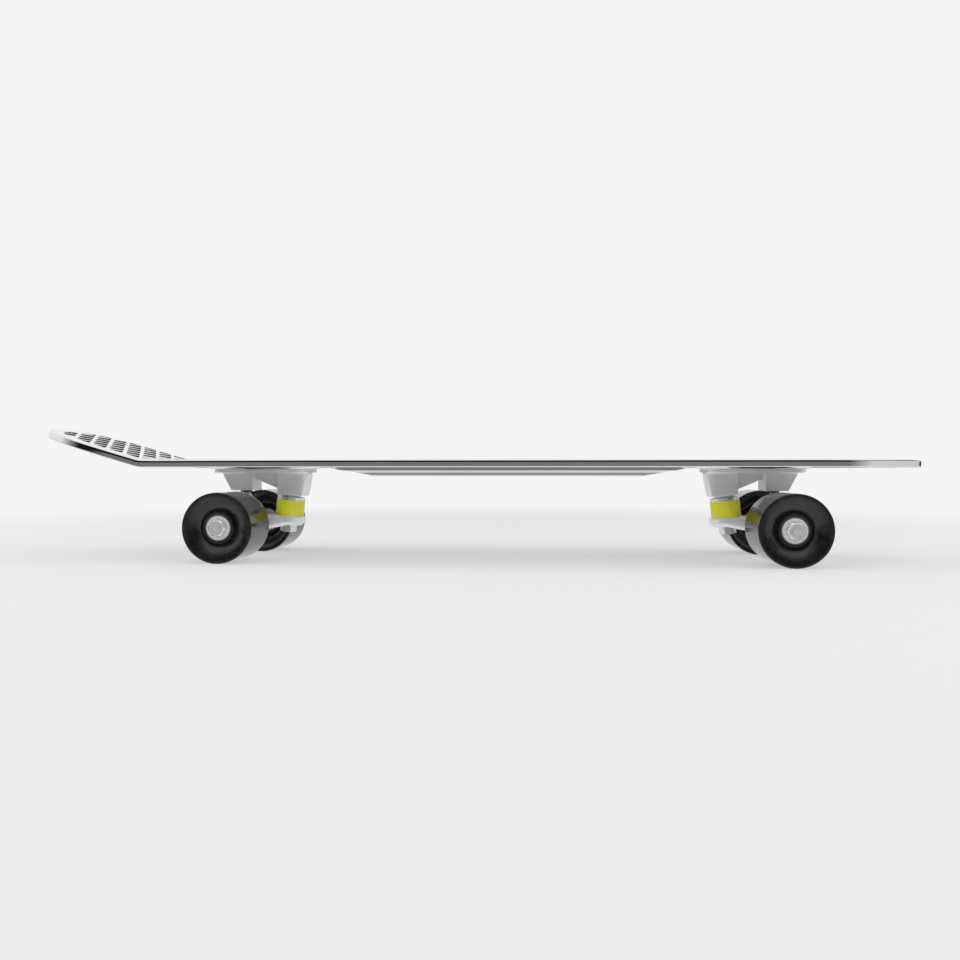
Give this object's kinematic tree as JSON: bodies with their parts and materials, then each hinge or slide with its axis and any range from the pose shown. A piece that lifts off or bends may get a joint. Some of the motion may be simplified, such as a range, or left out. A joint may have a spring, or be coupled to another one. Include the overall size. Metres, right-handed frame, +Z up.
{
  "type": "skateboard",
  "caption": "Cruiser skateboard with a moulded kicktail deck, sprung kingpin trucks and soft black wheels on ball bearings.",
  "frame": {"origin": "middle of the whole board's box, on the ground under the wheels", "axes": "+X along the board towards the nose, +Y towards the rider's left when facing the nose, +Z up"},
  "size_m": [0.766, 0.1614, 0.1162],
  "materials": {
    "deck": "mirror-like silver coating on moulded plastic",
    "cast_alloy": "satin cast aluminium",
    "bright_steel": "bright zinc plated",
    "bearing_steel": "ground bearing steel",
    "shield": "pressed bright steel",
    "bushing": "lime yellow urethane, satin",
    "black_rubber": "matt black",
    "wheel": "glossy black urethane"
  },
  "bodies": {
    "board": {"deck": "deck", "front_baseplate": "cast_alloy", "front_pivot_cup": "black_rubber", "front_kingpin": "bright_steel", "front_kingpin_nut": "bright_steel", "front_kingpin_washers": "bright_steel", "front_upper_bushing": "bushing", "front_lower_bushing": "bushing", "front_mounting_bolts": "bright_steel", "front_mounting_nuts": "bright_steel", "rear_baseplate": "cast_alloy", "rear_pivot_cup": "black_rubber", "rear_kingpin": "bright_steel", "rear_kingpin_nut": "bright_steel", "rear_kingpin_washers": "bright_steel", "rear_upper_bushing": "bushing", "rear_lower_bushing": "bushing", "rear_mounting_bolts": "bright_steel", "rear_mounting_nuts": "bright_steel"},
    "front_truck": {"front_hanger": "cast_alloy", "front_axle": "bright_steel", "front_bearing_inner_rings": "bearing_steel", "front_bearing_spacers": "bright_steel", "front_speed_washers": "bright_steel", "front_axle_nuts": "bright_steel"},
    "front_left_wheel_set": {"front_left_wheel": "wheel", "front_left_bearing_outer_rings": "bearing_steel", "front_left_bearing_balls": "bearing_steel", "front_left_bearing_cages": "bearing_steel", "front_left_bearing_shields": "shield"},
    "front_right_wheel_set": {"front_right_wheel": "wheel", "front_right_bearing_outer_rings": "bearing_steel", "front_right_bearing_balls": "bearing_steel", "front_right_bearing_cages": "bearing_steel", "front_right_bearing_shields": "shield"},
    "rear_truck": {"rear_hanger": "cast_alloy", "rear_axle": "bright_steel", "rear_bearing_inner_rings": "bearing_steel", "rear_bearing_spacers": "bright_steel", "rear_speed_washers": "bright_steel", "rear_axle_nuts": "bright_steel"},
    "rear_left_wheel_set": {"rear_left_wheel": "wheel", "rear_left_bearing_outer_rings": "bearing_steel", "rear_left_bearing_balls": "bearing_steel", "rear_left_bearing_cages": "bearing_steel", "rear_left_bearing_shields": "shield"},
    "rear_right_wheel_set": {"rear_right_wheel": "wheel", "rear_right_bearing_outer_rings": "bearing_steel", "rear_right_bearing_balls": "bearing_steel", "rear_right_bearing_cages": "bearing_steel", "rear_right_bearing_shields": "shield"}
  },
  "joints": [
    {"name": "front_steer", "type": "hinge", "parent": "board", "child": "front_truck", "pos_m": [0.2631, 0, 0.0635], "axis": [0.8014, 0, 0.5981], "range_deg": [-12, 12], "stiffness_Nm_per_rad": 18, "deforming": ["front_upper_bushing", "front_lower_bushing"]},
    {"name": "front_left_wheel_spin", "type": "hinge", "parent": "front_truck", "child": "front_left_wheel_set", "pos_m": [0.2606, 0, 0.0295], "axis": [0, 1, 0], "continuous": true},
    {"name": "front_right_wheel_spin", "type": "hinge", "parent": "front_truck", "child": "front_right_wheel_set", "pos_m": [0.2606, 0, 0.0295], "axis": [0, 1, 0], "continuous": true},
    {"name": "rear_steer", "type": "hinge", "parent": "board", "child": "rear_truck", "pos_m": [-0.2089, 0, 0.0635], "axis": [-0.8014, 0, 0.5981], "range_deg": [-12, 12], "stiffness_Nm_per_rad": 18, "deforming": ["rear_upper_bushing", "rear_lower_bushing"]},
    {"name": "rear_left_wheel_spin", "type": "hinge", "parent": "rear_truck", "child": "rear_left_wheel_set", "pos_m": [-0.2064, 0, 0.0295], "axis": [0, 1, 0], "continuous": true},
    {"name": "rear_right_wheel_spin", "type": "hinge", "parent": "rear_truck", "child": "rear_right_wheel_set", "pos_m": [-0.2064, 0, 0.0295], "axis": [0, 1, 0], "continuous": true}
  ]
}
